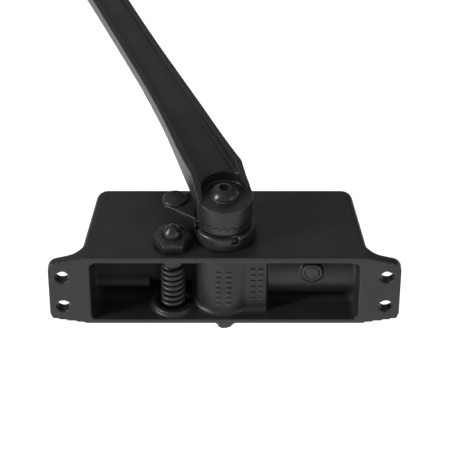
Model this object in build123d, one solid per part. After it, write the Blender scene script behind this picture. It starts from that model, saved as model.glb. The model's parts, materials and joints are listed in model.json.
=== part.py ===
from build123d import *
import math
import os

# Surface door closer with a hold-open plunger, as an assembly of separate pieces.
# Frame: millimetres. The face that lies against the door is the plane y = 0, and the closer
# stands out from it along +Y. X runs along the body, and +Z runs up the spindle to the arm.
# The origin is the centre of the four mounting holes.

# ---- Mounting ears and body casting
HOLE_SPACING_X = 162.0
HOLE_SPACING_Z = 19.0
HOLE_RADIUS = 3.5
EAR_HALF_LENGTH = 88.0
EAR_THICKNESS = 6.3
EAR_TIP_TOP = 18.0
EAR_TIP_BOTTOM = -17.6
EAR_SHOULDER_X = 71.0  # where the ears' slanted edges meet the straight ones
TOP_Z = 22.5
BOTTOM_Z = -21.5
DEPTH = 55.0
NEAR_HALF_WIDTH = 72.4  # the shell's half width at the mounting face
FAR_HALF_WIDTH = 64.6  # and at its far face
FAR_CORNER_RADIUS = 6.0
FAR_EDGE_RADIUS = 3.0
FAR_WALL = 4.0
POCKET_NEAR_HALF_WIDTH = 67.4
POCKET_FAR_HALF_WIDTH = 61.4
POCKET_TOP_Z = 18.5
POCKET_BOTTOM_Z = -18.3
POCKET_DEPTH = DEPTH - FAR_WALL

# ---- Cylinder
CYLINDER_Y = 34.0
BARREL_RADIUS = 16.0
CYLINDER_RADIUS = 12.5
CHAMBER_HALF_LENGTH = 58.0
PLUG_OUTER_X = 66.0
PLUG_BORE_RADIUS = 13.4
THICK_SIDE_Y = 27.0  # the right side carries extra metal for the filler
THICK_SIDE_RADIUS = 17.4
RIB_Y = 19.5  # oil rib cast along the left side of the cylinder
RIB_Z = -7.5
RIB_RADIUS = 4.0

# ---- Spindle stack, from the bottom up
SPINDLE_Y = 20.5
SPINDLE_BOSS_RADIUS = 16.8
BOSS_FOOT_RADIUS = 2.3
WEB_LEFT = 9.0
WEB_RIGHT = 21.4
WEB_FACE_Y = 7.0
HOUSING_BORE_RADIUS = 9.0
LOWER_BUSH_RADIUS = 7.5
NUT_THREAD_RADIUS = 12.0
NUT_THREAD_BOTTOM = 13.5
NUT_FLANGE_RADIUS = 15.6
NUT_TOP = 29.8
LOWER_JOURNAL_RADIUS = 5.0
UPPER_JOURNAL_RADIUS = 7.0
BUSH_OUTER_RADIUS = 9.0
SHAFT_BOTTOM = -17.2
SQUARE_BOTTOM = 30.2
SQUARE_TOP = 45.7
SQUARE_FLATS = 10.0
SQUARE_CORNER_RADIUS = 6.85

# ---- Pinion and rack: 25 degree stub teeth, which mesh without undercut at ten teeth
MODULE = 1.4
PINION_TEETH = 10
PRESSURE_ANGLE = math.radians(25.0)
PITCH_RADIUS = MODULE * PINION_TEETH / 2
ADDENDUM = 0.8 * MODULE
DEDENDUM = 1.04 * MODULE
BACKLASH = 0.14
PINION_HALF_HEIGHT = 10.0
RACK_HALF_HEIGHT = 9.6
RACK_PITCH = math.pi * MODULE
RACK_TEETH = range(-4, 3)
OPENING_TURN = 46.0  # spindle turn from the modelled pose, counter-clockwise from above
CLOSING_TURN = 100.0
TRAVEL_LEFT = PITCH_RADIUS * math.radians(OPENING_TURN)
TRAVEL_RIGHT = PITCH_RADIUS * math.radians(CLOSING_TURN)

# ---- Piston, main spring and valves
PISTON_RADIUS = CYLINDER_RADIUS - 0.06
WINDOW_LEFT = -TRAVEL_RIGHT - 8.8
WINDOW_RIGHT = TRAVEL_LEFT + 9.0
PISTON_LEFT = WINDOW_LEFT - 8.0
PISTON_RIGHT = WINDOW_RIGHT + 10.6
MAIN_WIRE = 3.4
MAIN_SPRING_RADIUS = 10.2
MAIN_SPRING_TURNS = 4.4
SPRING_WASHER = 1.5
CHECK_BALL_RADIUS = 2.3
CHECK_Z = -8.4
VALVE_X = (24.0, 40.0)
VALVE_RADIUS = 3.0
VALVE_OUTER_Y = 54.2
VALVE_SEAT_Y = 48.0
GALLERY_Y = 49.6
GALLERY_RADIUS = 1.1
PORT_RADIUS = 0.8
GALLERY_LEFT = 5.0
FILLER_X = 44.0
FILLER_Z = 5.2
FILLER_FACE_Y = 8.2

# ---- Hold-open plunger
SWING_RADIUS = 27.2  # of the plunger and of the cam's detent, about the spindle
PLUNGER_ANGLE = math.radians(197.1)
PLUNGER_X = SWING_RADIUS * math.cos(PLUNGER_ANGLE)
PLUNGER_Y = SPINDLE_Y + SWING_RADIUS * math.sin(PLUNGER_ANGLE)
PLUNGER_TIP = 33.5
PLUNGER_RADIUS = 4.7
PLUNGER_STEM_RADIUS = 3.8
GUIDE_THREAD_RADIUS = 7.0
GUIDE_BOTTOM = 13.1
GUIDE_FLATS = 17.0
GUIDE_HEIGHT = 5.0
PLUNGER_SPRING_WIRE = 2.0
PLUNGER_SPRING_RADIUS = 5.2
PLUNGER_SPRING_PITCH = 3.43
CUP_RADIUS = 10.8
CUP_BORE = 7.4
CUP_HEIGHT = 2.8

# ---- Hold-open cam and its face teeth
CAM_BOTTOM = 30.1
CAM_RING_RADIUS = 13.5
CAM_BORE_RADIUS = 7.2
CAM_PLATE_BOTTOM = 32.1
CAM_PLATE_TOP = 34.4
CAM_ROOT_RADIUS = 11.5
CAM_TIP_RADIUS = 6.7
CAM_ANGLE = 155.9
TRACK_HEIGHT = 30.1  # of the centre of the round groove that the plunger's nose runs in
TRACK_RADIUS = 3.6
FACE_TEETH = 22
TEETH_MIDDLE = 34.9
TEETH_WAVE = 2.4  # the height of the untruncated zigzag
TOOTH_CREST_CUT = 0.65
TOOTH_ROOT_CUT = 0.2
TEETH_GAP = 0.1
TEETH_INNER_RADIUS = 9.6

# ---- Main arm
HUB_RADIUS = 14.2
HUB_FACE = 46.2
ARM_ANGLE = 111.8
ARM_LENGTH = 200.0
ARM_TOP = 57.6
ARM_RAMP_START = -0.3
ARM_RAMP_END = 9.5
ARM_ELBOW_RADIUS = 9.6
ARM_LEFT_EDGE = [(0.0, 14.05), (10.3, 14.4), (55.0, 11.6), (110.0, 9.8), (ARM_LENGTH, ARM_ELBOW_RADIUS)]
ARM_RIGHT_EDGE = [(0.0, 14.05), (9.5, 13.1), (55.0, 11.3), (110.0, 9.7), (ARM_LENGTH, ARM_ELBOW_RADIUS)]
ARM_SPLIT = 12.0  # the arm is one casting, given as two pieces that meet here
ARM_WEB_DEPTH = 2.2
ARM_RIM_WIDTH = 3.6
SCREW_POCKET_RADIUS = 11.4
SCREW_HEAD_RADIUS = 7.15
SCREW_HEAD_HEIGHT = 4.2
SCREW_RADIUS = 4.0
ELBOW_BORE_RADIUS = 5.0
ELBOW_BUSH_RADIUS = 4.05

# ---- Fits
SLIP = 0.05


def disc(radius, bottom, top, x=0.0, y=0.0):
    """Upright cylinder between two heights."""
    return Pos(x, y, (bottom + top) / 2) * Cylinder(radius, top - bottom)


def rod_x(radius, left, right, y=CYLINDER_Y, z=0.0):
    return Pos((left + right) / 2, y, z) * Rot(0, 90, 0) * Cylinder(radius, right - left)


def rod_y(radius, near, far, x, z):
    return Pos(x, (near + far) / 2, z) * Rot(90, 0, 0) * Cylinder(radius, far - near)


def block(x0, x1, y0, y1, z0, z1):
    centre = Pos((x0 + x1) / 2, (y0 + y1) / 2, (z0 + z1) / 2)
    return centre * Box(x1 - x0, y1 - y0, z1 - z0)


def face_plane(y):
    """A plane facing -Y at this depth, with its own y axis along +Z."""
    return Plane(origin=(0, y, 0), x_dir=(1, 0, 0), z_dir=(0, -1, 0))


def o_ring(major, minor):
    return Torus(major, minor)


def hexagon_prism(flats, bottom, top):
    return Pos(0, 0, bottom) * extrude(RegularPolygon(flats / 2, 6, major_radius=False), top - bottom)


# ------------------------------------------------------------------ body casting
def ear_outline():
    """Front view: full height over the shell, tapering towards the ear tips."""
    half, shoulder = EAR_HALF_LENGTH, EAR_SHOULDER_X
    right = [(shoulder, TOP_Z), (half, EAR_TIP_TOP), (half, EAR_TIP_BOTTOM), (shoulder - 4, BOTTOM_Z)]
    left = [(-x, z) for x, z in reversed(right)]
    outline = make_face(Polyline(*right, *left, close=True))
    outline = fillet([v for v in outline.vertices() if abs(v.Y - EAR_TIP_TOP) < 0.01], 5.0)
    outline = fillet([v for v in outline.vertices() if abs(v.Y - EAR_TIP_BOTTOM) < 0.01], 3.0)
    shoulders = [v for v in outline.vertices() if abs(abs(v.X) - shoulder) < 5 and abs(v.Y) > 21]
    return fillet(shoulders, 8.0)


def plan_outline():
    """Plan: drafted shell with rounded far corners, swept into the ears' backs."""
    slope = (NEAR_HALF_WIDTH - FAR_HALF_WIDTH) / DEPTH
    side_x = NEAR_HALF_WIDTH - slope * EAR_THICKNESS
    right = [
        (EAR_HALF_LENGTH + 1, 0),
        (EAR_HALF_LENGTH + 1, EAR_THICKNESS),
        (side_x, EAR_THICKNESS),
        (FAR_HALF_WIDTH, DEPTH),
    ]
    left = [(-x, y) for x, y in reversed(right)]
    outline = make_face(Polyline(*right, *left, close=True))
    outline = fillet([v for v in outline.vertices() if v.Y > DEPTH - 1], FAR_CORNER_RADIUS)
    return fillet([v for v in outline.vertices() if abs(abs(v.X) - side_x) < 0.01], 7.0)


def outer_casting():
    plan = extrude(plan_outline(), 40, both=True)
    front = extrude(face_plane(0) * ear_outline(), -(DEPTH + 1))
    solid = plan & front
    far_edges = [e for e in solid.edges() if abs(e.center().Y - DEPTH) < 0.2 and abs(e.center().Z) > 20]
    return fillet(far_edges, FAR_EDGE_RADIUS)


def cast_cavity():
    sections = []
    middle, height = (POCKET_BOTTOM_Z + POCKET_TOP_Z) / 2, POCKET_TOP_Z - POCKET_BOTTOM_Z
    steps = ((-1.0, POCKET_NEAR_HALF_WIDTH, 2.5), (POCKET_DEPTH, POCKET_FAR_HALF_WIDTH, 3.0))
    for y, half, corner in steps:
        outline = Pos(0, middle) * RectangleRounded(2 * half, height, corner)
        sections.append(face_plane(y) * outline)
    return loft(sections, ruled=True)


def foot(radius, x, y):
    """The cast radius where a round boss meets the floor of the pocket."""
    r, floor = BOSS_FOOT_RADIUS, POCKET_BOTTOM_Z
    ring = disc(radius + r, floor - 0.5, floor + r, x, y)
    return ring - Pos(x, y, floor + r) * Torus(radius + r, r)


def spindle_housing():
    """Upright boss round the spindle, with the plain web beside it."""
    column = disc(SPINDLE_BOSS_RADIUS, BOTTOM_Z + 1, TOP_Z - 1, 0, SPINDLE_Y)
    web = block(WEB_LEFT, WEB_RIGHT, WEB_FACE_Y, CYLINDER_Y, BOTTOM_Z + 1, TOP_Z - 1)
    r, floor = BOSS_FOOT_RADIUS, POCKET_BOTTOM_Z
    web_foot = block(WEB_LEFT, WEB_RIGHT, WEB_FACE_Y - r, WEB_FACE_Y + 2, floor - 0.5, floor + r)
    web_foot -= rod_x(r, WEB_LEFT - 1, WEB_RIGHT + 2, WEB_FACE_Y - r, floor + r)
    return column + foot(SPINDLE_BOSS_RADIUS, 0, SPINDLE_Y) + web + web_foot


def plunger_supports():
    """The cup that holds the plunger spring, and the threaded boss above it."""
    cup = disc(CUP_RADIUS, BOTTOM_Z + 1, POCKET_BOTTOM_Z + CUP_HEIGHT, PLUNGER_X, PLUNGER_Y)
    cup = fillet(cup.edges().sort_by(Axis.Z)[-1], 1.1)
    boss = disc(9.8, POCKET_TOP_Z - 3.4, TOP_Z - 1, PLUNGER_X, PLUNGER_Y)
    return cup + boss


def cylinder_casting():
    """The barrel, its thicker right side, the oil rib on its left and the valve strip behind."""
    end = NEAR_HALF_WIDTH
    barrel = rod_x(BARREL_RADIUS, -end, end)
    thick_side = rod_x(THICK_SIDE_RADIUS, 10, end, y=THICK_SIDE_Y)
    rib = rod_x(RIB_RADIUS, -end, -38, y=RIB_Y, z=RIB_Z)
    strip = block(0, end, CYLINDER_Y + 8, DEPTH - 2, -6, 6)
    filler_boss = rod_y(5.5, FILLER_FACE_Y, THICK_SIDE_Y, FILLER_X, FILLER_Z)
    return barrel + thick_side + rib + strip + filler_boss


def gate_stub():
    """Rough stub of the casting's gate on the bottom front edge."""
    outline = Polyline(
        (-4.4, BOTTOM_Z + 1.5),
        (-3.3, -24.0),
        (-1.4, -25.2),
        (1.4, -24.9),
        (3.6, -23.8),
        (5.6, BOTTOM_Z + 1.5),
        close=True,
    )
    return extrude(face_plane(0.2) * make_face(outline), -4.4)


def body_casting():
    outside = outer_casting()
    casting = outside - cast_cavity()
    casting += (spindle_housing() + plunger_supports() + cylinder_casting()) & outside
    casting += gate_stub()
    casting -= rod_x(CYLINDER_RADIUS, -CHAMBER_HALF_LENGTH, CHAMBER_HALF_LENGTH)
    for x in VALVE_X:
        casting -= rod_y(VALVE_RADIUS + SLIP, VALVE_SEAT_Y, DEPTH + 1, x, 0)
        casting -= rod_y(PORT_RADIUS, CYLINDER_Y, VALVE_SEAT_Y + 1, x, 0)
    casting -= rod_x(PLUG_BORE_RADIUS, CHAMBER_HALF_LENGTH, 80)
    casting -= rod_x(PLUG_BORE_RADIUS, -80, -CHAMBER_HALF_LENGTH)
    casting -= disc(HOUSING_BORE_RADIUS, -11.2, TOP_Z + 1, 0, SPINDLE_Y)
    casting -= disc(LOWER_BUSH_RADIUS, SHAFT_BOTTOM - 0.8, 0, 0, SPINDLE_Y)
    casting -= disc(NUT_THREAD_RADIUS, NUT_THREAD_BOTTOM, TOP_Z + 1, 0, SPINDLE_Y)
    casting -= disc(CUP_BORE, POCKET_BOTTOM_Z, GUIDE_BOTTOM + 5, PLUNGER_X, PLUNGER_Y)
    casting -= disc(GUIDE_THREAD_RADIUS, 5, TOP_Z + 1, PLUNGER_X, PLUNGER_Y)
    casting -= rod_y(3.6, FILLER_FACE_Y - 1, 15.6, FILLER_X, FILLER_Z)
    casting -= rod_y(1.6, 15, CYLINDER_Y, FILLER_X, FILLER_Z)
    casting -= rod_x(GALLERY_RADIUS, GALLERY_LEFT, 80, y=GALLERY_Y)
    casting -= rod_y(PORT_RADIUS, CYLINDER_Y, GALLERY_Y, GALLERY_LEFT + 3, 0)
    for x in (-HOLE_SPACING_X / 2, HOLE_SPACING_X / 2):
        for z in (-HOLE_SPACING_Z / 2, HOLE_SPACING_Z / 2):
            casting -= rod_y(HOLE_RADIUS, -1, 20, x, z)
    return casting


# ------------------------------------------------------------------ cylinder ends and valves
def end_plug(side):
    """Screwed plug in the cylinder's end. The right one carries the piston's stop."""
    inner, outer = side * CHAMBER_HALF_LENGTH, side * PLUG_OUTER_X
    plug = rod_x(PLUG_BORE_RADIUS - SLIP, min(inner, outer), max(inner, outer))
    plug = chamfer(plug.edges().filter_by(GeomType.CIRCLE), 0.6)
    socket = hexagon_prism(11.0, -4.5, 1)
    plug -= Pos(outer, CYLINDER_Y, 0) * Rot(0, side * 90, 0) * socket
    middle = side * (CHAMBER_HALF_LENGTH + 3.2)
    groove = rod_x(20, middle - 1.0, middle + 1.0) - rod_x(11.8, middle - 2, middle + 2)
    plug -= groove
    if side > 0:
        plug += rod_x(5.0, PISTON_RIGHT + TRAVEL_RIGHT + 0.4, CHAMBER_HALF_LENGTH + 1)
    return plug


def plug_o_ring(side):
    middle = side * (CHAMBER_HALF_LENGTH + 3.2)
    return Pos(middle, CYLINDER_Y, 0) * Rot(0, 90, 0) * o_ring(12.58, 0.74)


def valve_screw(x):
    """Needle screw: the cone throttles the port from the cylinder."""
    seat, outer = VALVE_SEAT_Y, VALVE_OUTER_Y
    screw = chamfer(rod_y(VALVE_RADIUS, seat + 2.8, outer, x, 0).edges().sort_by(Axis.Y)[-1], 0.4)
    screw += rod_y(1.5, seat + 0.9, seat + 3, x, 0)
    screw += Pos(x, seat + 0.5, 0) * Rot(-90, 0, 0) * Cone(0.7, 1.5, 0.9)
    screw -= block(x - 0.5, x + 0.5, outer - 1.1, outer + 1, -4, 4)
    groove = rod_y(5, seat + 3.2, seat + 4.7, x, 0) - rod_y(2.0, seat + 3, seat + 5, x, 0)
    return screw - groove


def valve_o_ring(x):
    return Pos(x, VALVE_SEAT_Y + 3.95, 0) * Rot(90, 0, 0) * o_ring(2.51, 0.5)


def gallery_plug():
    """Ball pressed into the end of the drilled oil gallery."""
    return Pos(63.4, GALLERY_Y, 0) * Sphere(GALLERY_RADIUS)


def filler_plug():
    """Plain plug pressed in nearly flush once the cylinder has been filled."""
    plug = rod_y(3.6 - SLIP, FILLER_FACE_Y + 0.15, FILLER_FACE_Y + 6.4, FILLER_X, FILLER_Z)
    return chamfer(plug.edges().sort_by(Axis.Y)[0], 0.25)


# ------------------------------------------------------------------ piston and springs
def involute_angle(radius, base):
    """Polar angle along an involute at this radius."""
    roll = math.sqrt(max((radius / base) ** 2 - 1.0, 0.0))
    return roll - math.atan(roll)


def pinion_outline():
    """Ten-tooth outline with a tooth gap centred on +Y."""
    base = PITCH_RADIUS * math.cos(PRESSURE_ANGLE)
    root, tip = PITCH_RADIUS - DEDENDUM, PITCH_RADIUS + ADDENDUM
    half_tooth = math.pi / (2 * PINION_TEETH) - BACKLASH / (4 * PITCH_RADIUS)
    at_pitch = involute_angle(PITCH_RADIUS, base)
    radii = [base + (tip - base) * k / 5 for k in range(6)]
    flank = [(root, half_tooth + at_pitch)]
    flank += [(r, half_tooth + at_pitch - involute_angle(r, base)) for r in radii]
    pitch_angle = 2 * math.pi / PINION_TEETH
    points = []
    for tooth in range(PINION_TEETH):
        middle = math.pi / 2 + (tooth + 0.5) * pitch_angle
        for r, a in flank:
            points.append((r * math.cos(middle - a), r * math.sin(middle - a)))
        for r, a in reversed(flank):
            points.append((r * math.cos(middle + a), r * math.sin(middle + a)))
    return make_face(Polyline(*points, close=True))


def rack_tooth(index):
    """One straight-sided tooth pointing at the spindle."""
    slope = math.tan(PRESSURE_ANGLE)
    pitch_y = SPINDLE_Y + PITCH_RADIUS
    root_y, tip_y = pitch_y + ADDENDUM + 0.45, pitch_y - ADDENDUM
    half = RACK_PITCH / 4 - BACKLASH / 4
    middle = index * RACK_PITCH
    at_root, at_tip = half + (root_y - pitch_y) * slope, half - ADDENDUM * slope
    outline = Polyline(
        (middle - at_root, root_y + 0.01),
        (middle - at_tip, tip_y),
        (middle + at_tip, tip_y),
        (middle + at_root, root_y + 0.01),
        close=True,
    )
    return extrude(make_face(outline), RACK_HALF_HEIGHT, both=True)


def piston():
    body = rod_x(PISTON_RADIUS, PISTON_LEFT, PISTON_RIGHT)
    body = chamfer(body.edges().filter_by(GeomType.CIRCLE), 0.5)
    root_y = SPINDLE_Y + PITCH_RADIUS + ADDENDUM + 0.45
    body -= block(WINDOW_LEFT, WINDOW_RIGHT, 0, root_y, -20, 20)
    for index in RACK_TEETH:
        body += rack_tooth(index)
    body -= rod_x(2.5, PISTON_RIGHT - 7.5, PISTON_RIGHT + 1, z=CHECK_Z)
    body -= rod_x(1.3, WINDOW_RIGHT - 1, PISTON_RIGHT, z=CHECK_Z)
    return body


def check_ball():
    return Pos(PISTON_RIGHT - 7.5 + CHECK_BALL_RADIUS + 0.02, CYLINDER_Y, CHECK_Z) * Sphere(CHECK_BALL_RADIUS)


def check_ball_retainer():
    ring = rod_x(2.5, PISTON_RIGHT - 1.9, PISTON_RIGHT - 0.3, z=CHECK_Z)
    return ring - rod_x(1.2, PISTON_RIGHT - 3, PISTON_RIGHT + 1, z=CHECK_Z)


def coil(pitch, length, radius, wire):
    """Closed solid of a round-wire helix standing on the origin."""
    path = Helix(pitch=pitch, height=length, radius=radius)
    section = Plane(origin=path @ 0, z_dir=path % 0) * Circle(wire / 2)
    return sweep(section, path=path, is_frenet=True)


def main_spring():
    left = -CHAMBER_HALF_LENGTH + SPRING_WASHER
    length = PISTON_LEFT - left - MAIN_WIRE - 0.5
    wound = coil(length / MAIN_SPRING_TURNS, length, MAIN_SPRING_RADIUS, MAIN_WIRE)
    return Pos(left + MAIN_WIRE / 2 + 0.25, CYLINDER_Y, 0) * Rot(0, 90, 0) * wound


def spring_washer():
    left = -CHAMBER_HALF_LENGTH
    return rod_x(12.3, left, left + SPRING_WASHER - 0.05) - rod_x(7.5, left - 1, left + 5)


# ------------------------------------------------------------------ spindle group
def bearing_nut():
    """Flanged nut that closes the housing, with four spanner notches."""
    flange = disc(NUT_FLANGE_RADIUS, TOP_Z, NUT_TOP)
    flange = fillet(flange.edges().sort_by(Axis.Z)[-1], 1.2)
    thread = disc(NUT_THREAD_RADIUS - SLIP, NUT_THREAD_BOTTOM + 0.3, TOP_Z + 0.1)
    nut = flange + thread - disc(BUSH_OUTER_RADIUS, 0, 40)
    groove = disc(20, 19.2, 21.2) - disc(10.5, 19, 22)
    nut -= groove
    for quarter in range(4):
        angle = -69.2 + 90 * quarter
        nut -= Rot(0, 0, angle) * block(NUT_FLANGE_RADIUS - 2.4, 20, -1.9, 1.9, NUT_TOP - 3.6, NUT_TOP + 1)
    return Pos(0, SPINDLE_Y, 0) * nut


def bearing_nut_o_ring():
    return Pos(0, SPINDLE_Y, 20.2) * o_ring(11.2, 0.68)


def upper_bush():
    bush = disc(BUSH_OUTER_RADIUS, NUT_THREAD_BOTTOM + 0.5, 26.4) - disc(UPPER_JOURNAL_RADIUS + SLIP, 0, 40)
    return Pos(0, SPINDLE_Y, 0) * bush


def lower_bush():
    bush = disc(LOWER_BUSH_RADIUS, SHAFT_BOTTOM - 0.6, -11.4) - disc(LOWER_JOURNAL_RADIUS + SLIP, -30, 0)
    return Pos(0, SPINDLE_Y, 0) * bush


def shaft_seal():
    """Lip seal above the upper bush."""
    half_profile = Polyline(
        (UPPER_JOURNAL_RADIUS + 0.06, 27.6),
        (UPPER_JOURNAL_RADIUS + 0.9, 26.7),
        (BUSH_OUTER_RADIUS, 26.7),
        (BUSH_OUTER_RADIUS, 29.4),
        (UPPER_JOURNAL_RADIUS + 0.5, 29.4),
        (UPPER_JOURNAL_RADIUS + 0.06, 28.2),
        close=True,
    )
    return Pos(0, SPINDLE_Y, 0) * revolve(Plane.XZ * make_face(half_profile), Axis.Z)


def thrust_washer():
    return Pos(0, SPINDLE_Y, 0) * (disc(11.6, NUT_TOP + 0.05, CAM_BOTTOM - 0.05) - disc(7.15, 0, 40))


def drive_square(bottom, top, growth=0.0):
    """Square with turned-off corners, as milled on round bar."""
    side = SQUARE_FLATS + growth
    square = block(-side / 2, side / 2, -side / 2, side / 2, bottom, top)
    return Rot(0, 0, ARM_ANGLE) * (square & disc(SQUARE_CORNER_RADIUS + growth / 2, bottom, top))


def pinion_shaft():
    shaft = disc(LOWER_JOURNAL_RADIUS, SHAFT_BOTTOM, -PINION_HALF_HEIGHT)
    shaft += Pos(0, 0, -PINION_HALF_HEIGHT) * extrude(pinion_outline(), 2 * PINION_HALF_HEIGHT)
    shaft += disc(UPPER_JOURNAL_RADIUS, PINION_HALF_HEIGHT, SQUARE_BOTTOM)
    shaft += drive_square(SQUARE_BOTTOM, SQUARE_TOP)
    shaft -= disc(SCREW_RADIUS + 0.02, 30, SQUARE_TOP + 1)
    return Pos(0, SPINDLE_Y, 0) * shaft


def tooth_space(pointing, root_z, crest_z):
    """One radial V groove on +X, widening with radius; pointing is 1 up or -1 down."""
    sections = []
    for radius in (TEETH_INNER_RADIUS - 1.5, HUB_RADIUS + 1.5):
        half_pitch = radius * math.tan(math.pi / FACE_TEETH)
        bottom = half_pitch * TOOTH_ROOT_CUT / TEETH_WAVE
        top = half_pitch * (1 - TOOTH_CREST_CUT / TEETH_WAVE)
        outline = Polyline(
            (-bottom, root_z),
            (-top, crest_z),
            (-top, crest_z + pointing),
            (top, crest_z + pointing),
            (top, crest_z),
            (bottom, root_z),
            close=True,
        )
        plane = Plane(origin=(radius, 0, 0), x_dir=(0, 1, 0), z_dir=(1, 0, 0))
        sections.append(plane * make_face(outline))
    return loft(sections, ruled=True)


def toothed_ring(pointing, outer_radius, back_z, phase):
    """Ring from its back to the crests of the face teeth cut into it."""
    middle = TEETH_MIDDLE - pointing * TEETH_GAP
    root_z = middle - pointing * (TEETH_WAVE / 2 - TOOTH_ROOT_CUT)
    crest_z = middle + pointing * (TEETH_WAVE / 2 - TOOTH_CREST_CUT)
    ring = disc(outer_radius, min(back_z, crest_z), max(back_z, crest_z))
    ring -= disc(TEETH_INNER_RADIUS, min(root_z, crest_z + pointing), max(root_z, crest_z + pointing))
    groove = tooth_space(pointing, root_z, crest_z)
    step = 360 / FACE_TEETH
    for index in range(FACE_TEETH):
        ring -= Rot(0, 0, phase + step * index) * groove
    return ring


def hold_open_cam():
    """Lever whose ring keys to the arm by face teeth and whose tip passes over the plunger."""
    ring = toothed_ring(1, CAM_RING_RADIUS, CAM_BOTTOM, 0.0)
    ring = chamfer(ring.faces().sort_by(Axis.Z)[0].edges(), 0.5)
    tip = Pos(SWING_RADIUS, 0) * Circle(CAM_TIP_RADIUS)
    outline = make_hull([*Circle(CAM_ROOT_RADIUS).edges(), *tip.edges()]) - Circle(CAM_ROOT_RADIUS)
    plate = Pos(0, 0, CAM_PLATE_BOTTOM) * extrude(outline, CAM_PLATE_TOP - CAM_PLATE_BOTTOM)
    plate -= disc(HUB_RADIUS + 0.5, CAM_PLATE_TOP - 0.9, CAM_PLATE_TOP + 1)
    cam = ring + Rot(0, 0, CAM_ANGLE) * plate
    cam -= Pos(0, 0, TRACK_HEIGHT) * Torus(SWING_RADIUS, TRACK_RADIUS)
    cam -= Rot(0, 0, CAM_ANGLE) * disc(4.0, 30, 40, SWING_RADIUS, 0)
    cam -= disc(CAM_BORE_RADIUS, 0, 60)
    return Pos(0, SPINDLE_Y, 0) * cam


def detent_button():
    """Hardened button in the cam's tip, hollowed beneath for the plunger's nose."""
    head = disc(6.1, CAM_PLATE_TOP, CAM_PLATE_TOP + 1.1)
    head = fillet(head.edges().sort_by(Axis.Z)[-1], 0.6)
    shank = disc(3.98, CAM_PLATE_BOTTOM, CAM_PLATE_TOP)
    dimple = Pos(0, 0, PLUNGER_TIP - 3.4 + 0.4) * Sphere(3.4)
    button = Rot(0, 0, CAM_ANGLE) * Pos(SWING_RADIUS, 0, 0) * (head + shank - dimple)
    return Pos(0, SPINDLE_Y, 0) * (button - Pos(0, 0, TRACK_HEIGHT) * Torus(SWING_RADIUS, TRACK_RADIUS))


# ------------------------------------------------------------------ main arm
def arm_plan():
    """Plan of the arm's tapering bar from the spindle to its rounded end."""
    left = Spline(*ARM_LEFT_EDGE)
    right = Spline(*[(u, -w) for u, w in ARM_RIGHT_EDGE])
    tip = CenterArc((ARM_LENGTH, 0), ARM_ELBOW_RADIUS, -90, 180)
    closing = Line(left @ 0, right @ 0)
    return make_face([left, right, tip, closing])


def arm_side():
    """Side view of the bar: a ramp off the hub's face above, a long sweep beneath."""
    far = ARM_LENGTH + ARM_ELBOW_RADIUS + 1
    back = -HUB_RADIUS - 1
    above = Polyline((back, HUB_FACE - 7), (back, HUB_FACE), (ARM_RAMP_START, HUB_FACE))
    ramp = Line((ARM_RAMP_START, HUB_FACE), (ARM_RAMP_END, ARM_TOP))
    top = Polyline((ARM_RAMP_END, ARM_TOP), (far, ARM_TOP), (far, ARM_TOP - 6.6), (90, ARM_TOP - 6.6))
    beneath = Spline((90, ARM_TOP - 6.6), (55, ARM_TOP - 7.4), (12, ARM_TOP - 12.6), (-2, HUB_FACE - 7))
    close = Line((-2, HUB_FACE - 7), (back, HUB_FACE - 7))
    return make_face([*above.edges(), ramp, *top.edges(), beneath, close])


def arm_bar():
    side = extrude(Plane.XZ * arm_side(), 30, both=True)
    bar_plan = extrude(arm_plan(), 80) + disc(HUB_RADIUS, 0, 80)
    bar = side & bar_plan
    return bar - arm_web()


def arm_web():
    """Cutter for the sunk web, whose floor rises from the hub outwards."""
    floor = ARM_TOP - ARM_WEB_DEPTH
    start, stop = ARM_RAMP_START + 1.0, ARM_LENGTH - ARM_ELBOW_RADIUS - 4
    profile = Polyline(
        (start, ARM_TOP - 6.2),
        (ARM_RAMP_END + 3, ARM_TOP - 5.0),
        (60, floor),
        (stop, floor),
        (stop, ARM_TOP + 5),
        (start, ARM_TOP + 5),
        close=True,
    )
    side = extrude(Plane.XZ * make_face(profile), 30, both=True)
    left = [(start, 14.0), *ARM_LEFT_EDGE[1:-1], (stop, 9.5)]
    right = [(start, 14.0), *ARM_RIGHT_EDGE[1:-1], (stop, 9.5)]
    left = [(u, w - ARM_RIM_WIDTH) for u, w in left]
    right = [(u, ARM_RIM_WIDTH - w) for u, w in reversed(right)]
    outline = make_face(Polyline(*left, *right, close=True))
    return side & extrude(outline, 80)


def whole_arm():
    arm = arm_bar()
    arm -= disc(SCREW_POCKET_RADIUS, HUB_FACE, 70)
    arm += disc(ARM_ELBOW_RADIUS - 1.4, ARM_TOP - 2, ARM_TOP + 0.6, ARM_LENGTH, 0)
    arm -= disc(ELBOW_BORE_RADIUS, 0, 80, ARM_LENGTH, 0)
    arm = Rot(0, 0, ARM_ANGLE) * arm
    arm += toothed_ring(-1, HUB_RADIUS, HUB_FACE - 5, 180 / FACE_TEETH)
    return arm - drive_square(0, HUB_FACE + 1, growth=2 * SLIP)


def hub_side():
    """Block that holds the hub's end of the arm."""
    return Rot(0, 0, ARM_ANGLE) * block(-30, ARM_SPLIT, -30, 30, 0, 80)


def arm_hub():
    return Pos(0, SPINDLE_Y, 0) * (whole_arm() & hub_side())


def main_arm():
    return Pos(0, SPINDLE_Y, 0) * (whole_arm() - hub_side())


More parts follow.
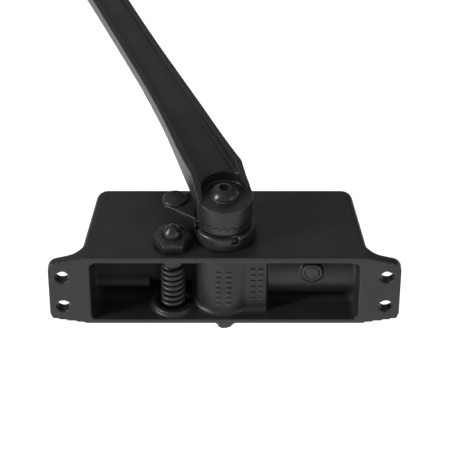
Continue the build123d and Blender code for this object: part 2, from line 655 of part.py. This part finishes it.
def arm_screw():
    """Domed socket screw that holds the arm down on the spindle's square."""
    base = HUB_FACE + 0.8
    rise = SCREW_HEAD_HEIGHT
    profile = make_face(
        [
            Line((0, base), (SCREW_HEAD_RADIUS, base)),
            Line((SCREW_HEAD_RADIUS, base), (SCREW_HEAD_RADIUS, base + 0.8)),
            ThreePointArc(
                (SCREW_HEAD_RADIUS, base + 0.8),
                (5.5, base + rise * 0.72),
                (3.2, base + rise),
            ),
            Line((3.2, base + rise), (0, base + rise)),
            Line((0, base + rise), (0, base)),
        ]
    )
    head = revolve(Plane.XZ * profile, Axis.Z)
    screw = head + disc(SCREW_RADIUS, 31.5, base + 0.1)
    screw -= hexagon_prism(5.0, base + rise - 2.6, base + rise + 1)
    return Pos(0, SPINDLE_Y, 0) * screw


def arm_lock_washer():
    """Split spring washer under the screw's head."""
    ring = disc(7.1, HUB_FACE, HUB_FACE + 0.78) - disc(SCREW_RADIUS + 0.2, 0, 60)
    ring -= Rot(0, 0, 200) * block(3, 9, -0.4, 0.4, 40, 60)
    return Pos(0, SPINDLE_Y, 0) * ring


def elbow_bush():
    bush = disc(ELBOW_BORE_RADIUS, ARM_TOP - 6.6, ARM_TOP + 0.6) - disc(ELBOW_BUSH_RADIUS, 0, 80)
    return Pos(0, SPINDLE_Y, 0) * Rot(0, 0, ARM_ANGLE) * Pos(ARM_LENGTH, 0, 0) * bush


# ------------------------------------------------------------------ hold-open plunger
def plunger_guide_nut():
    """Hexagon nut that guides the plunger through the casting's top."""
    hexagon = hexagon_prism(GUIDE_FLATS, TOP_Z, TOP_Z + GUIDE_HEIGHT)
    corner = GUIDE_FLATS / math.sqrt(3)
    seated = (Align.CENTER, Align.CENTER, Align.MIN)
    crown = Pos(0, 0, TOP_Z) * Cone(corner + 6.2, corner - 1.7, GUIDE_HEIGHT, align=seated)
    nut = (hexagon & crown) + disc(GUIDE_THREAD_RADIUS - SLIP, GUIDE_BOTTOM, TOP_Z + 1)
    nut -= disc(PLUNGER_RADIUS + SLIP, 0, 60)
    return Pos(PLUNGER_X, PLUNGER_Y, 0) * Rot(0, 0, 2) * nut


def plunger():
    """Bullet-nosed pin with the shoulder that the spring pushes up against the nut."""
    neck = TOP_Z + GUIDE_HEIGHT + 0.9
    nose = make_face(
        [
            Line((0, GUIDE_BOTTOM - 0.1), (PLUNGER_RADIUS, GUIDE_BOTTOM - 0.1)),
            Line((PLUNGER_RADIUS, GUIDE_BOTTOM - 0.1), (PLUNGER_RADIUS, neck)),
            Spline(
                (PLUNGER_RADIUS, neck),
                (2.9, neck + (PLUNGER_TIP - neck) * 0.72),
                (0, PLUNGER_TIP),
                tangents=((0, 1), (-1, 0)),
            ),
            Line((0, PLUNGER_TIP), (0, GUIDE_BOTTOM - 0.1)),
        ]
    )
    pin = revolve(Plane.XZ * nose, Axis.Z)
    shoulder = disc(6.1, GUIDE_BOTTOM - 2.7, GUIDE_BOTTOM - 0.05)
    stem = disc(PLUNGER_STEM_RADIUS, -9, GUIDE_BOTTOM)
    stem = chamfer(stem.edges().sort_by(Axis.Z)[0], 0.6)
    return Pos(PLUNGER_X, PLUNGER_Y, 0) * (pin + shoulder + stem)


def plunger_spring():
    bottom, top = POCKET_BOTTOM_Z, GUIDE_BOTTOM - 2.7
    length = top - bottom - PLUNGER_SPRING_WIRE - 0.3
    wound = coil(PLUNGER_SPRING_PITCH, length, PLUNGER_SPRING_RADIUS, PLUNGER_SPRING_WIRE)
    return Pos(PLUNGER_X, PLUNGER_Y, bottom + PLUNGER_SPRING_WIRE / 2 + 0.15) * wound


PARTS = {
    "body_casting": body_casting,
    "left_end_plug": lambda: end_plug(-1),
    "right_end_plug": lambda: end_plug(1),
    "left_plug_o_ring": lambda: plug_o_ring(-1),
    "right_plug_o_ring": lambda: plug_o_ring(1),
    "filler_plug": filler_plug,
    "closing_valve_screw": lambda: valve_screw(VALVE_X[0]),
    "latching_valve_screw": lambda: valve_screw(VALVE_X[1]),
    "closing_valve_o_ring": lambda: valve_o_ring(VALVE_X[0]),
    "latching_valve_o_ring": lambda: valve_o_ring(VALVE_X[1]),
    "gallery_plug": gallery_plug,
    "piston": piston,
    "check_ball": check_ball,
    "check_ball_retainer": check_ball_retainer,
    "main_spring": main_spring,
    "spring_washer": spring_washer,
    "bearing_nut": bearing_nut,
    "bearing_nut_o_ring": bearing_nut_o_ring,
    "upper_bush": upper_bush,
    "lower_bush": lower_bush,
    "shaft_seal": shaft_seal,
    "thrust_washer": thrust_washer,
    "pinion_shaft": pinion_shaft,
    "hold_open_cam": hold_open_cam,
    "detent_button": detent_button,
    "arm_hub": arm_hub,
    "main_arm": main_arm,
    "arm_screw": arm_screw,
    "arm_lock_washer": arm_lock_washer,
    "elbow_bush": elbow_bush,
    "plunger_guide_nut": plunger_guide_nut,
    "plunger": plunger,
    "plunger_spring": plunger_spring,
}

os.makedirs("parts", exist_ok=True)
for node, make in PARTS.items():
    export_step(make().solid(), f"parts/{node}.step")
    print("wrote", node)
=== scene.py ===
import bpy
import json
import math
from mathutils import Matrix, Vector


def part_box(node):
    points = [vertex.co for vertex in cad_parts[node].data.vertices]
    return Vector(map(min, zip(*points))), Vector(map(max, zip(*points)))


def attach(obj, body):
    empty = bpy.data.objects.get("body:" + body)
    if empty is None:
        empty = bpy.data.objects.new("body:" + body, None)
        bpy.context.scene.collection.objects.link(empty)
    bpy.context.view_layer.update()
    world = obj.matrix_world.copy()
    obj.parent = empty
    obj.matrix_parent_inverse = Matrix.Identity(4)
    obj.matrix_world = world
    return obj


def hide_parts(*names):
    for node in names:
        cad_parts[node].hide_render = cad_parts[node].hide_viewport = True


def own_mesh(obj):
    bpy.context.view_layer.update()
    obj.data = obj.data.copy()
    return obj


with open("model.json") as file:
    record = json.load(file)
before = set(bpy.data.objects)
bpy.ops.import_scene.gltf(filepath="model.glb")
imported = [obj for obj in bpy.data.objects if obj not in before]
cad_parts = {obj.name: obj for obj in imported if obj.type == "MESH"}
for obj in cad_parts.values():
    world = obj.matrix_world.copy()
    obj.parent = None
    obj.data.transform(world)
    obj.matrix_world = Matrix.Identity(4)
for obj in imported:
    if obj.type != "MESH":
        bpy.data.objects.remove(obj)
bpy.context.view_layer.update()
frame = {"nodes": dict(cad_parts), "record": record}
nodes = frame["nodes"]
mm = 0.001


def centreOf(node):
    low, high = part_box(node)
    return (low + high) / 2


spindle = centreOf("pinion_shaft")
plungerAt = centreOf("plunger")
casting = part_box("body_casting")


# the camera is square to the mounting side and looks down on it
view = {
    "distance": 1.15,
    "elevation": 41.5,
    "tiltUp": 1.68,
    "lens": 183.6,
    "shiftX": 0.0009,
    "sensorWidth": 36,
    "clipEnd": 20,
}


def addCamera():
    angle = math.radians(view["elevation"])
    bpy.ops.object.select_all(action="DESELECT")
    bpy.ops.object.camera_add(
        location=(0, -view["distance"] * math.cos(angle), view["distance"] * math.sin(angle)),
        rotation=(math.radians(90 - view["elevation"] + view["tiltUp"]), 0, 0),
    )
    camera = bpy.context.object
    camera.name = "closerCamera"
    camera.data.lens = view["lens"]
    camera.data.sensor_width = view["sensorWidth"]
    camera.data.shift_x = view["shiftX"]
    camera.data.clip_end = view["clipEnd"]
    bpy.context.scene.camera = camera


addCamera()
print("camera placed")


# a socket that takes part in plain expressions
class Wire:
    def __init__(self, finish, socket):
        self.finish = finish
        self.socket = socket

    def combine(self, operation, first, second):
        return self.finish.add("ShaderNodeMath", {"operation": operation}, [first, second])

    def __add__(self, other):
        return self.combine("ADD", self, other)

    def __radd__(self, other):
        return self.combine("ADD", other, self)

    def __sub__(self, other):
        return self.combine("SUBTRACT", self, other)

    def __rsub__(self, other):
        return self.combine("SUBTRACT", other, self)

    def __mul__(self, other):
        return self.combine("MULTIPLY", self, other)

    def __rmul__(self, other):
        return self.combine("MULTIPLY", other, self)

    def __truediv__(self, other):
        return self.combine("DIVIDE", self, other)

    def clamp(self):
        return self.combine("MAXIMUM", self.combine("MINIMUM", self, 1.0), 0.0)


# the nodes of one material, or of the world, round its own shader
class Finish:
    def __init__(self, owner, shaderName="Principled BSDF"):
        self.owner = owner
        owner.use_nodes = True
        self.tree = owner.node_tree
        self.shader = self.tree.nodes[shaderName]

    # any node: its settings are set first, then its sockets by name or place
    def add(self, kind, settings, inputs, output=0):
        node = self.tree.nodes.new(kind)
        for key, value in settings.items():
            if key == "stops":
                self.setStops(node, value)
            else:
                setattr(node, key, value)
        pairs = inputs.items() if isinstance(inputs, dict) else enumerate(inputs)
        for key, value in pairs:
            self.feed(node.inputs[key], value)
        return Wire(self, node.outputs[output])

    def setStops(self, node, stops):
        ramp = node.color_ramp
        while len(ramp.elements) > len(stops):
            ramp.elements.remove(ramp.elements[-1])
        for index, (place, shade) in enumerate(stops):
            if index >= len(ramp.elements):
                ramp.elements.new(place)
            ramp.elements[index].position = place
            ramp.elements[index].color = (shade, shade, shade, 1)

    def feed(self, socket, value):
        if isinstance(value, Wire):
            self.tree.links.new(value.socket, socket)
        else:
            socket.default_value = value

    def set(self, name, value):
        self.feed(self.shader.inputs[name], value)

    def place(self):
        return self.add("ShaderNodeTexCoord", {}, {}, "Object")

    def noise(self, scale, detail=3.0, roughness=0.5):
        inputs = {"Vector": self.place(), "Scale": scale, "Detail": detail, "Roughness": roughness}
        return self.add("ShaderNodeTexNoise", {}, inputs, "Fac")

    def ramp(self, source, stops):
        return self.add("ShaderNodeValToRGB", {"stops": stops}, {"Fac": source})

    def mixColours(self, factor, first, second):
        inputs = {"Factor": factor, 6: (*first, 1) if isinstance(first, tuple) else first,
                  7: (*second, 1) if isinstance(second, tuple) else second}
        return self.add("ShaderNodeMix", {"data_type": "RGBA"}, inputs, 2)

    def bump(self, height, distance, strength=1.0):
        inputs = {"Height": height, "Distance": distance, "Strength": strength}
        self.set("Normal", self.add("ShaderNodeBump", {}, inputs, "Normal"))

    # how far each point is from an upright axis
    def fromAxis(self, x, y):
        flat = self.add("ShaderNodeVectorMath", {"operation": "MULTIPLY"}, [self.place(), (1, 1, 0)])
        inputs = [flat, (x, y, 0)]
        return self.add("ShaderNodeVectorMath", {"operation": "DISTANCE"}, inputs, "Value")

    # 1 under that height and 0 above it
    def belowTop(self, height):
        upright = self.add("ShaderNodeSeparateXYZ", {}, {"Vector": self.place()}, "Z")
        return ((height - upright) * 2000).clamp()

    def edges(self, low, high):
        pointed = self.add("ShaderNodeNewGeometry", {}, {}, "Pointiness")
        return self.ramp(pointed, [(low, 0), (high, 1)])


# painted shade in a ring round an upright axis, where the nut and the collar meet the casting: radii are taken as
# shares of 50 mm
paintedShade = {"perMetre": 20, "depth": 0.85, "shade": (0.004, 0.004, 0.004)}


# charcoal paint over a casting: orange-peel grain, dusty patches, sharp edges lighter as painted highlight and worn
# paint, painted shade rings round listed axes
def paintFinish(name, paint):
    finish = Finish(bpy.data.materials.new(name))
    grain = finish.noise(paint["grainScale"], 4, 0.6)
    patches = finish.noise(paint["patchScale"], 3, 0.5)
    pits = finish.ramp(finish.noise(paint["grainScale"] * 0.45, 2, 0.5), [(0.3, 0), (0.42, 1)])
    # painted highlight along sharp edges, partly also worn paint: pointiness, in random patches, lightens the edges
    wornAndLitEdge = finish.edges(paint["edgeLow"], paint["edgeHigh"]) * finish.ramp(patches, [(0.35, 0.3), (0.65, 1)])
    base = finish.mixColours(finish.ramp(patches, [(0.3, 0), (0.7, 1)]), paint["dark"], paint["light"])
    # painted shade: each listed axis gets a dark ring of paint round its foot
    for x, y, inner, outer in paint["paintedShade"]:
        stops = [(inner * paintedShade["perMetre"], 1), (outer * paintedShade["perMetre"], 0)]
        shadeRing = finish.ramp(finish.fromAxis(x, y) * paintedShade["perMetre"], stops)
        base = finish.mixColours(shadeRing * paintedShade["depth"], base, paintedShade["shade"])
    finish.set("Base Color", finish.mixColours(wornAndLitEdge * paint["wearAndHighlight"], base, paint["wornAndLitEdge"]))
    depth = finish.add("ShaderNodeSeparateXYZ", {}, {"Vector": finish.place()}, "Y")
    dusty = ((depth - paint["thinFrom"]) * 200).clamp() * finish.belowTop(casting[1].z - 1.5 * mm)
    finish.set("Roughness", (paint["roughness"] + (grain - 0.5) * 0.18 - wornAndLitEdge * 0.12 + dusty * 0.45).clamp())
    finish.set("Metallic", wornAndLitEdge * paint["bareMetal"])
    finish.bump(grain * paint["grainHeight"] + pits * paint["pitHeight"] + patches * paint["swell"], 0.001)
    finish.shader.inputs["Specular IOR Level"].default_value = paint["gloss"]
    return finish.owner


# turned or drawn metal: fine scratches, darker film in patches, edges lighter as painted highlight and rubbed metal
def metalFinish(name, metal):
    finish = Finish(bpy.data.materials.new(name))
    streak = finish.add("ShaderNodeMapping", {}, {"Vector": finish.place(), "Scale": metal["stretch"]})
    inputs = {"Vector": streak, "Scale": metal["scratchScale"], "Detail": 4.0}
    scratches = finish.add("ShaderNodeTexNoise", {}, inputs, "Fac")
    film = finish.noise(metal["filmScale"], 3, 0.5)
    # painted highlight along sharp edges, partly also rubbed metal: pointiness mixes in the lighter edge colour
    bright = finish.edges(metal["edgeLow"], metal["edgeHigh"])
    base = finish.mixColours(finish.ramp(film, [(0.35, 0), (0.68, 1)]), metal["dark"], metal["light"])
    finish.set("Base Color", finish.mixColours(bright * metal["wearAndHighlight"], base, metal["wornAndLitEdge"]))
    finish.set("Roughness", (metal["roughness"] + (scratches - 0.5) * 0.2 + (film - 0.5) * 0.15).clamp())
    finish.set("Metallic", metal["metallic"] + bright * (1 - metal["metallic"]) * 0.5)
    finish.bump(scratches * metal["scratchHeight"], 0.001)
    return finish.owner


def rubberFinish(name, rubber):
    finish = Finish(bpy.data.materials.new(name))
    bloom = finish.noise(rubber["bloomScale"], 4, 0.6)
    finish.set("Base Color", finish.mixColours(bloom, rubber["dark"], rubber["light"]))
    finish.set("Roughness", 0.55 + bloom * 0.25)
    finish.bump(bloom * 0.03, 0.001)
    return finish.owner


castPaint = paintFinish("castCharcoalPaint", {
    "dark": (0.010, 0.0102, 0.0105), "light": (0.016, 0.0163, 0.0167), "wornAndLitEdge": (0.09, 0.09, 0.091),
    "grainScale": 900, "patchScale": 45, "edgeLow": 0.53, "edgeHigh": 0.62, "wearAndHighlight": 0.55, "bareMetal": 0.25,
    "roughness": 0.42, "grainHeight": 0.14, "pitHeight": 0.06, "swell": 0.25, "gloss": 0.4, "thinFrom": 12 * mm,
    # painted shade rings round the foot of the guide nut and of the bearing collar
    "paintedShade": [(plungerAt.x, plungerAt.y, 9.6 * mm, 11.2 * mm), (spindle.x, spindle.y, 15.8 * mm, 17.6 * mm)],
})
armPaint = paintFinish("armCharcoalPaint", {
    "dark": (0.010, 0.0102, 0.0105), "light": (0.015, 0.0153, 0.0157), "wornAndLitEdge": (0.12, 0.12, 0.121),
    "grainScale": 1100, "patchScale": 60, "edgeLow": 0.53, "edgeHigh": 0.60, "wearAndHighlight": 0.6, "bareMetal": 0.3,
    "roughness": 0.38, "grainHeight": 0.07, "pitHeight": 0.02, "swell": 0.15, "gloss": 0.4,
    "thinFrom": 900 * mm,  # beyond the arm, so none of it is dusty
    "paintedShade": [],
})
blackSteel = metalFinish("blackenedSteel", {
    "dark": (0.022, 0.022, 0.023), "light": (0.042, 0.042, 0.043), "wornAndLitEdge": (0.3, 0.3, 0.3), "stretch": (1, 1, 6),
    "scratchScale": 700, "filmScale": 160, "edgeLow": 0.53, "edgeHigh": 0.60, "wearAndHighlight": 0.6, "metallic": 0.45,
    "roughness": 0.3, "scratchHeight": 0.03,
})
springWire = metalFinish("oiledSpringWire", {
    "dark": (0.024, 0.024, 0.025), "light": (0.045, 0.045, 0.046), "wornAndLitEdge": (0.2, 0.2, 0.2), "stretch": (1, 1, 1),
    "scratchScale": 900, "filmScale": 220, "edgeLow": 0.6, "edgeHigh": 0.7, "wearAndHighlight": 0.3, "metallic": 0.3,
    "roughness": 0.48, "scratchHeight": 0.02,
})
turnedSteel = metalFinish("turnedSteel", {
    "dark": (0.32, 0.32, 0.33), "light": (0.45, 0.45, 0.46), "wornAndLitEdge": (0.6, 0.6, 0.6), "stretch": (8, 1, 1),
    "scratchScale": 600, "filmScale": 120, "edgeLow": 0.53, "edgeHigh": 0.6, "wearAndHighlight": 0.5, "metallic": 0.95,
    "roughness": 0.3, "scratchHeight": 0.04,
})
greyIron = metalFinish("groundGreyIron", {
    "dark": (0.12, 0.12, 0.12), "light": (0.2, 0.2, 0.2), "wornAndLitEdge": (0.35, 0.35, 0.35), "stretch": (1, 5, 5),
    "scratchScale": 500, "filmScale": 90, "edgeLow": 0.53, "edgeHigh": 0.6, "wearAndHighlight": 0.5, "metallic": 0.85,
    "roughness": 0.4, "scratchHeight": 0.06,
})
oiledBronze = metalFinish("oiledBronze", {
    "dark": (0.3, 0.19, 0.09), "light": (0.42, 0.28, 0.14), "wornAndLitEdge": (0.6, 0.45, 0.25), "stretch": (1, 1, 3),
    "scratchScale": 800, "filmScale": 150, "edgeLow": 0.53, "edgeHigh": 0.6, "wearAndHighlight": 0.5, "metallic": 0.9,
    "roughness": 0.38, "scratchHeight": 0.05,
})
valveBrass = metalFinish("turnedBrass", {
    "dark": (0.5, 0.36, 0.13), "light": (0.62, 0.47, 0.2), "wornAndLitEdge": (0.75, 0.62, 0.35), "stretch": (1, 6, 1),
    "scratchScale": 700, "filmScale": 150, "edgeLow": 0.53, "edgeHigh": 0.6, "wearAndHighlight": 0.5, "metallic": 0.95,
    "roughness": 0.28, "scratchHeight": 0.04,
})
sealRubber = rubberFinish("sealRubber", {"dark": (0.012, 0.012, 0.012), "light": (0.03, 0.03, 0.03), "bloomScale": 400})

finishes = {
    "cast_paint": castPaint, "arm_paint": armPaint, "blackened_steel": blackSteel, "spring_steel": springWire,
    "bright_steel": turnedSteel, "piston_iron": greyIron, "bush_bronze": oiledBronze, "valve_brass": valveBrass,
    "seal_rubber": sealRubber,
}
slotOf = {part["node"]: part["material_slot"] for part in frame["record"]["subparts"]}


def paint(piece, finish):
    piece.data.materials.clear()
    piece.data.materials.append(finish)


for nodeName, node in nodes.items():
    paint(node, finishes[slotOf[nodeName]])
print("finishes made")


def deselect():
    if bpy.context.mode != "OBJECT":
        bpy.ops.object.mode_set(mode="OBJECT")
    bpy.ops.object.select_all(action="DESELECT")


def takeUp(piece):
    deselect()
    piece.select_set(True)
    bpy.context.view_layer.objects.active = piece


def applied(piece, kind, **settings):
    takeUp(piece)
    modifier = piece.modifiers.new(kind.lower(), kind)
    for key, value in settings.items():
        setattr(modifier, key, value)
    bpy.ops.object.modifier_apply(modifier=modifier.name)


def settle(piece):
    takeUp(piece)
    bpy.ops.object.transform_apply(location=True, rotation=True, scale=True)


weldWithin = 2e-6


# one merged copy of the meshes of these nodes
def copied(nodeNames, name):
    copies = []
    for nodeName in nodeNames:
        copies.append(bpy.data.objects.new(name, nodes[nodeName].data.copy()))
        bpy.context.scene.collection.objects.link(copies[-1])
    deselect()
    for copy in copies:
        copy.select_set(True)
    bpy.context.view_layer.objects.active = copies[0]
    if len(copies) > 1:
        bpy.ops.object.join()
    piece = copies[0]
    takeUp(piece)
    bpy.ops.object.mode_set(mode="EDIT")
    bpy.ops.mesh.select_all(action="SELECT")
    bpy.ops.mesh.remove_doubles(threshold=weldWithin)
    bpy.ops.object.mode_set(mode="OBJECT")
    return piece


# a copied piece with every edge and corner softened like the real one
def softened(nodeNames, name, voxel, passes, shave=0.0):
    piece = copied(nodeNames, name)
    applied(piece, "REMESH", mode="VOXEL", voxel_size=voxel)
    applied(piece, "SMOOTH", factor=0.5, iterations=passes)
    if shave:
        applied(piece, "DISPLACE", strength=-shave, mid_level=0)
    takeUp(piece)
    bpy.ops.object.shade_smooth()
    return piece


def hand(piece, nodeNames, body):
    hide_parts(*nodeNames)
    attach(piece, body)
    paint(piece, finishes[slotOf[nodeNames[0]]])


# voxel: the grain of the rounding; passes: how often it is smoothed; shave: taken off all over
softPieces = {
    "castBody": {"nodes": ["body_casting"], "body": "closer_body", "voxel": 0.8 * mm, "passes": 2},
    "leverArm": {
        "nodes": ["main_arm", "arm_hub"], "body": "spindle_and_arm",
        "voxel": 0.42 * mm, "passes": 1, "shave": 0.12 * mm,
    },
    "holdOpenCam": {
        "nodes": ["hold_open_cam"], "body": "spindle_and_arm",
        "voxel": 0.25 * mm, "passes": 2, "shave": 0.14 * mm,
    },
    "camButton": {"nodes": ["detent_button"], "body": "spindle_and_arm", "voxel": 0.22 * mm, "passes": 3},
    "armScrew": {"nodes": ["arm_screw"], "body": "spindle_and_arm", "voxel": 0.22 * mm, "passes": 2},
    "bearingCollar": {"nodes": ["bearing_nut"], "body": "closer_body", "voxel": 0.33 * mm, "passes": 2},
    "guideNut": {"nodes": ["plunger_guide_nut"], "body": "closer_body", "voxel": 0.26 * mm, "passes": 3},
    "holdOpenPlunger": {"nodes": ["plunger"], "body": "hold_open_plunger", "voxel": 0.26 * mm, "passes": 3},
}
for name, piece in softPieces.items():
    made = softened(piece["nodes"], name, piece["voxel"], piece["passes"], piece.get("shave", 0.0))
    hand(made, piece["nodes"], piece["body"])
    print(name, len(made.data.polygons), "faces")


# the plunger's spring gets ground ends; the real spring closes up as the plunger goes down
springSettings = {"travel": 5 * mm, "ground": 0.35 * mm, "smoothUnder": math.radians(40)}


def addPlungerSpring():
    low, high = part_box("plunger_spring")
    spring = copied(["plunger_spring"], "plungerSpring")
    bpy.ops.object.mode_set(mode="EDIT")
    ground = springSettings["ground"]
    for height, clearLow in ((low.z + ground, True), (high.z - ground, False)):
        bpy.ops.mesh.select_all(action="SELECT")
        bpy.ops.mesh.bisect(plane_co=(plungerAt.x, plungerAt.y, height), plane_no=(0, 0, 1),
                            clear_inner=clearLow, clear_outer=not clearLow, use_fill=True)
    bpy.ops.object.mode_set(mode="OBJECT")
    bpy.ops.object.shade_smooth_by_angle(angle=springSettings["smoothUnder"])
    hand(spring, ["plunger_spring"], "closer_body")
    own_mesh(spring)


addPlungerSpring()
print("plunger spring made")


# plain raised bars on the spindle boss and the web
marks = {
    "proud": 0.5 * mm, "thick": 0.8 * mm, "bevel": 0.2 * mm, "smoothUnder": math.radians(35),
    "bossRadius": 16.8 * mm, "bossTop": 9.0, "bossPitch": 3.4, "bossRows": 7, "bossHeight": 1.5 * mm,
    "bossColumns": ((-3.0 * mm, 2.4 * mm), (1.9 * mm, 2.8 * mm)),
    "webFace": 7.0 * mm, "webTop": 8.4, "webPitch": 3.8, "webRows": 6, "webHeight": 1.8 * mm,
    "webColumns": (14.3 * mm, 18.1 * mm), "webWidth": 2.4 * mm,
}


def addMark(x, y, z, width, height):
    deselect()
    bpy.ops.mesh.primitive_cube_add(size=1, location=(x, y + marks["thick"] / 2 - marks["proud"], z))
    mark = bpy.context.object
    mark.scale = (width, marks["thick"], height)
    settle(mark)
    applied(mark, "BEVEL", width=marks["bevel"], segments=2)
    return mark


def addCastMarks():
    made = []
    for row in range(marks["bossRows"]):
        for x, width in marks["bossColumns"]:
            z = (marks["bossTop"] - row * marks["bossPitch"]) * mm
            y = spindle.y - math.sqrt(marks["bossRadius"] ** 2 - x**2)
            made.append(addMark(x, y, z, width, marks["bossHeight"]))
    for row in range(marks["webRows"]):
        for x in marks["webColumns"]:
            z = (marks["webTop"] - row * marks["webPitch"]) * mm
            made.append(addMark(x, marks["webFace"], z, marks["webWidth"], marks["webHeight"]))
    deselect()
    for mark in made:
        mark.select_set(True)
    bpy.context.view_layer.objects.active = made[0]
    bpy.ops.object.join()
    piece = bpy.context.object
    piece.name = "castMarks"
    settle(piece)
    bpy.ops.object.shade_smooth_by_angle(angle=marks["smoothUnder"])
    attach(piece, "closer_body")
    paint(piece, castPaint)


addCastMarks()
print("marks added")


# the sky is brighter in front, and the lamps aim at the body
stage = {
    "floorZ": -0.45, "floorSize": 12, "floorShade": (0.3, 0.3, 0.3, 1), "floorRoughness": 0.9, "white": (1, 1, 1, 1),
    "frontSky": 0.4, "backSky": 0.2, "duskFrom": -0.5, "duskTo": 0.3, "aim": (0, 0.02, 0),
}


def addStage():
    deselect()
    bpy.ops.mesh.primitive_plane_add(size=stage["floorSize"], location=(0, 0, stage["floorZ"]))
    floor = bpy.context.object
    floor.name = "paleFloor"
    finish = Finish(bpy.data.materials.new("paleFloor"))
    finish.set("Base Color", stage["floorShade"])
    finish.set("Roughness", stage["floorRoughness"])
    finish.set("Emission Color", stage["white"])
    finish.set("Emission Strength", 1.0)
    paint(floor, finish.owner)
    floor.visible_diffuse = False  # it shows in the gloss but throws no light up


def addSky():
    world = bpy.data.worlds.new("softStudio")
    bpy.context.scene.world = world
    sky = Finish(world, "Background")
    where = sky.add("ShaderNodeTexCoord", {}, {}, "Generated")
    depth = sky.add("ShaderNodeSeparateXYZ", {}, {"Vector": where}, "Y")
    dusk = sky.add("ShaderNodeMapRange", {}, {
        "Value": depth, "From Min": stage["duskFrom"], "From Max": stage["duskTo"],
        "To Min": stage["frontSky"], "To Max": stage["backSky"],
    }, "Result")
    sky.set("Strength", dusk)
    sky.set("Color", stage["white"])


def addLamp(name, location, target, size, power):
    deselect()
    aim = (Vector(target) - Vector(location)).to_track_quat("-Z", "Y").to_euler()
    bpy.ops.object.light_add(type="AREA", location=location, rotation=aim)
    lamp = bpy.context.object
    lamp.name = name
    lamp.data.shape = "RECTANGLE"
    lamp.data.size, lamp.data.size_y = size
    lamp.data.energy = power


lamps = {
    "keyLeft": {"location": (-1.39, -0.51, 0.6), "size": (0.35, 0.9), "power": 27},
    "fillRight": {"location": (1.35, -0.94, 0.44), "size": (0.8, 0.8), "power": 4},
    "backPanel": {"location": (-0.55, 1.3, 1.15), "size": (1.5, 1.0), "power": 1.9},
}
addStage()
addSky()
for name, lamp in lamps.items():
    addLamp(name, lamp["location"], stage["aim"], lamp["size"], lamp["power"])
bpy.context.scene.view_settings.view_transform = "Standard"
print("stage lit")
